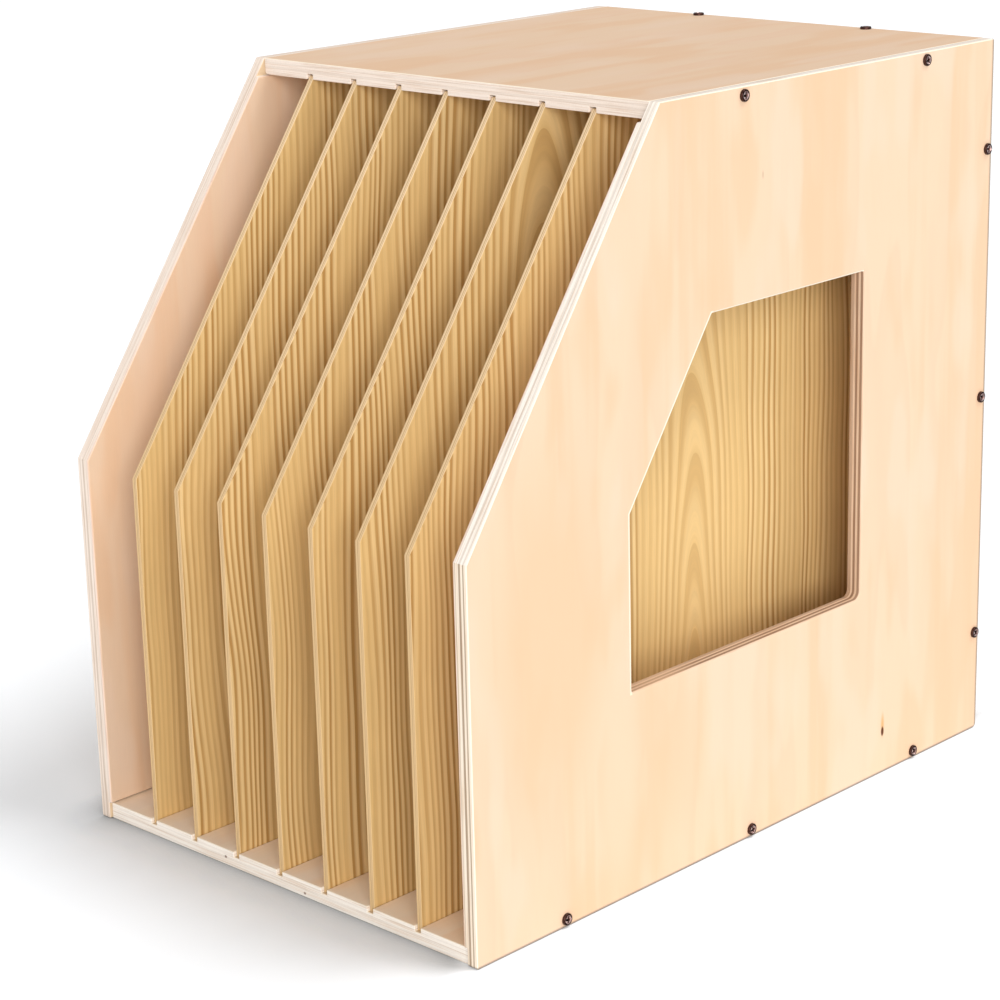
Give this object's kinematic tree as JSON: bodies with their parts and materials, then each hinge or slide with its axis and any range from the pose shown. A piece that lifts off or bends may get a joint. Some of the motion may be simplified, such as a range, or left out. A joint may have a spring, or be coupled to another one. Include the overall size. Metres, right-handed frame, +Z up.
{
  "type": "paper storage rack",
  "caption": "Free-standing plywood rack with sloped, windowed sides and thin sliding dividers that keep square craft sheets upright in narrow open-fronted slots.",
  "frame": {"origin": "on the floor, under the middle of the rack", "axes": "+X to the right seen from the open front, +Y from the front to the rear, +Z up"},
  "size_m": [0.2448, 0.35, 0.3369],
  "materials": {
    "plywood": "satin",
    "pine": "matte",
    "screw": "satin"
  },
  "bodies": {
    "case": {"left_side_panel": "plywood", "right_side_panel": "plywood", "top_panel": "plywood", "bottom_panel": "plywood", "back_panel": "plywood", "left_top_screws": "screw", "left_back_screws": "screw", "left_bottom_screws": "screw", "right_top_screws": "screw", "right_back_screws": "screw", "right_bottom_screws": "screw", "top_rear_screws": "screw", "bottom_rear_screws": "screw"},
    "divider_1": {"divider_1": "pine"},
    "divider_2": {"divider_2": "pine"},
    "divider_3": {"divider_3": "pine"},
    "divider_4": {"divider_4": "pine"},
    "divider_5": {"divider_5": "pine"},
    "divider_6": {"divider_6": "pine"},
    "divider_7": {"divider_7": "pine"}
  },
  "joints": [
    {"name": "divider_1_slide", "type": "slide", "parent": "case", "child": "divider_1", "axis": [0, -1, 0], "range_m": [0, 0.22]},
    {"name": "divider_2_slide", "type": "slide", "parent": "case", "child": "divider_2", "axis": [0, -1, 0], "range_m": [0, 0.22]},
    {"name": "divider_3_slide", "type": "slide", "parent": "case", "child": "divider_3", "axis": [0, -1, 0], "range_m": [0, 0.22]},
    {"name": "divider_4_slide", "type": "slide", "parent": "case", "child": "divider_4", "axis": [0, -1, 0], "range_m": [0, 0.22]},
    {"name": "divider_5_slide", "type": "slide", "parent": "case", "child": "divider_5", "axis": [0, -1, 0], "range_m": [0, 0.22]},
    {"name": "divider_6_slide", "type": "slide", "parent": "case", "child": "divider_6", "axis": [0, -1, 0], "range_m": [0, 0.22]},
    {"name": "divider_7_slide", "type": "slide", "parent": "case", "child": "divider_7", "axis": [0, -1, 0], "range_m": [0, 0.22]}
  ]
}
